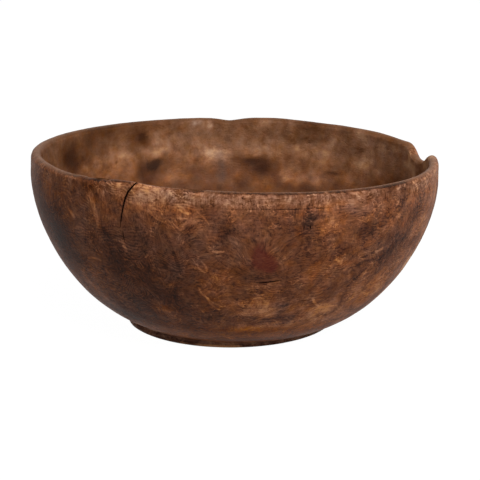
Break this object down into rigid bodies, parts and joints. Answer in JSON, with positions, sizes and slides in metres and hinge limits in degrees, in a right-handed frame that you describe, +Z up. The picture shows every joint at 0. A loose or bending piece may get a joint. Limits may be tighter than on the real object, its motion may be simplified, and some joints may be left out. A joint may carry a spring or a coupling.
{
  "type": "wooden bowl",
  "caption": "Round turned burl-wood bowl with a rounded lip, a line scribed under the rim, a low foot ring, an age crack and a broken notch in the lip, for serving or mixing.",
  "frame": {"origin": "on the table plane, under the middle of the bowl's widest ring", "axes": "+Z up out of the mouth, -Y to the front, with the crack left of the front and the large knot just right of it, +X to the right"},
  "size_m": [0.35, 0.35, 0.1524],
  "materials": {
    "burl_wood": "old satin patina, rubbed along the lip",
    "red_knot_wood": "dark red, satin",
    "black_knot_wood": "near black, dull"
  },
  "bodies": {
    "root": {"bowl_body": "burl_wood", "front_knot": "red_knot_wood", "back_knot": "black_knot_wood"}
  },
  "joints": []
}
